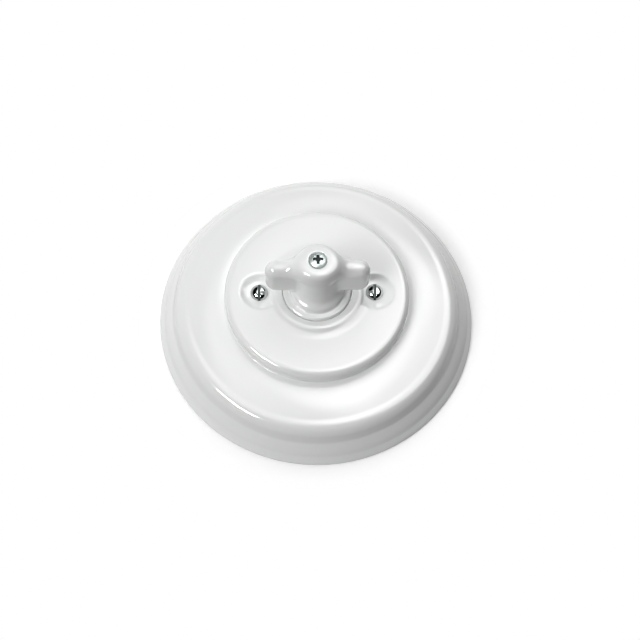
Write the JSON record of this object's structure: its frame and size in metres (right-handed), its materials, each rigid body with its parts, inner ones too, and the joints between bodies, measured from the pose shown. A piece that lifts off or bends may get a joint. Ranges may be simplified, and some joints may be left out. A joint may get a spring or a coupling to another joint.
{
  "type": "rotary light switch",
  "caption": "Round white porcelain wall switch with a moulded surround, a screwed-on cover plate and a winged knob that turns in quarter steps to switch a lamp from either of two places.",
  "frame": {"origin": "middle of the surround's back in the wall plane, which is also the middle of the two box-screw slots", "axes": "+Z out of the wall along the spindle, +X along the line from the left cover screw to the right one, +Y up the wall"},
  "size_m": [0.108, 0.108, 0.0689],
  "materials": {
    "porcelain": "clear gloss glaze over white porcelain",
    "bright_plating": "bright nickel plating",
    "zinc_steel": "bluish zinc plating",
    "spring_steel": "blued spring steel",
    "brass": "plain turned brass",
    "bronze": "rolled phosphor bronze strip",
    "copper": "drawn copper",
    "moulding": "dark moulded thermoset with a dull sheen",
    "cam_plastic": "plain ivory nylon"
  },
  "bodies": {
    "fixed": {"surround_ring": "porcelain", "cover_plate": "porcelain", "cover_screws": "bright_plating", "mounting_strap": "zinc_steel", "cover_pillars": "brass", "switch_lid": "moulding", "switch_base": "moulding", "base_screws": "zinc_steel", "detent_springs": "spring_steel", "terminal_common": "brass", "terminal_one": "brass", "terminal_two": "brass", "terminal_screws": "zinc_steel", "contact_common": "bronze", "contact_one": "bronze", "contact_two": "bronze"},
    "turning": {"knob": "porcelain", "knob_screw": "zinc_steel", "spindle": "brass", "spindle_clip": "spring_steel", "index_cam": "cam_plastic", "contact_drum": "cam_plastic", "drum_contact": "copper"}
  },
  "joints": [
    {"name": "knob_turn", "type": "hinge", "parent": "fixed", "child": "turning", "pos_m": [0, 0, 0.03], "axis": [0, 0, 1], "continuous": true, "deforming": ["detent_springs"]}
  ]
}
